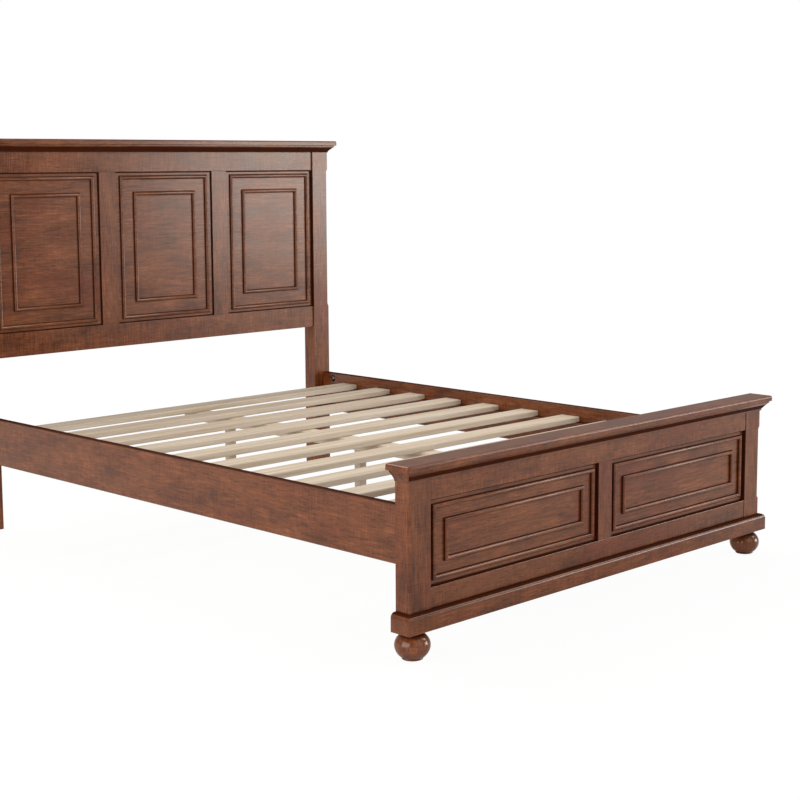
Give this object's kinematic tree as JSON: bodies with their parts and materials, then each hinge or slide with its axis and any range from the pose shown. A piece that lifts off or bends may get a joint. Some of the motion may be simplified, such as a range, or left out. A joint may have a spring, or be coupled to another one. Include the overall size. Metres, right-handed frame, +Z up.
{
  "type": "panel bed frame",
  "caption": "Timber bed frame with a panelled headboard and footboard, moulded caps, bun feet in front, bolted side rails and an open slat deck on a centre beam.",
  "frame": {"origin": "on the floor, midway between the two sides and midway between the front of the footboard cap and the back of the headboard cap", "axes": "+X to the right seen from the footboard, +Y from the footboard to the headboard, +Z up"},
  "size_m": [1.66, 2.187, 1.347],
  "materials": {
    "stained_wood": "satin reddish brown stain with the grain showing",
    "natural_wood": "planed, unfinished",
    "steel": "zinc plated"
  },
  "bodies": {
    "root": {"foot_post_left": "stained_wood", "foot_post_right": "stained_wood", "foot_rail_bottom": "stained_wood", "foot_rail_top": "stained_wood", "foot_cornice": "stained_wood", "foot_cap": "stained_wood", "foot_panel_left": "stained_wood", "foot_panel_right": "stained_wood", "foot_stile": "stained_wood", "foot_plinth": "stained_wood", "bun_foot_left": "stained_wood", "bun_foot_right": "stained_wood", "head_post_left": "stained_wood", "head_post_right": "stained_wood", "head_rail_bottom": "stained_wood", "head_rail_top": "stained_wood", "head_cornice": "stained_wood", "head_cap": "stained_wood", "head_panel_left": "stained_wood", "head_panel_centre": "stained_wood", "head_panel_right": "stained_wood", "head_stile_left": "stained_wood", "head_stile_right": "stained_wood", "side_rail_left": "stained_wood", "side_rail_right": "stained_wood", "ledger_left": "stained_wood", "ledger_right": "stained_wood", "slat_01": "natural_wood", "slat_02": "natural_wood", "slat_03": "natural_wood", "slat_04": "natural_wood", "slat_05": "natural_wood", "slat_06": "natural_wood", "slat_07": "natural_wood", "slat_08": "natural_wood", "slat_09": "natural_wood", "slat_10": "natural_wood", "centre_beam": "natural_wood", "centre_leg_1": "natural_wood", "centre_leg_2": "natural_wood", "centre_leg_3": "natural_wood", "bolt_foot_left_lower": "steel", "bolt_foot_left_upper": "steel", "bolt_foot_right_lower": "steel", "bolt_foot_right_upper": "steel", "bolt_head_left_lower": "steel", "bolt_head_left_upper": "steel", "bolt_head_right_lower": "steel", "bolt_head_right_upper": "steel", "nut_foot_left_lower": "steel", "nut_foot_left_upper": "steel", "nut_foot_right_lower": "steel", "nut_foot_right_upper": "steel", "nut_head_left_lower": "steel", "nut_head_left_upper": "steel", "nut_head_right_lower": "steel", "nut_head_right_upper": "steel"}
  },
  "joints": []
}
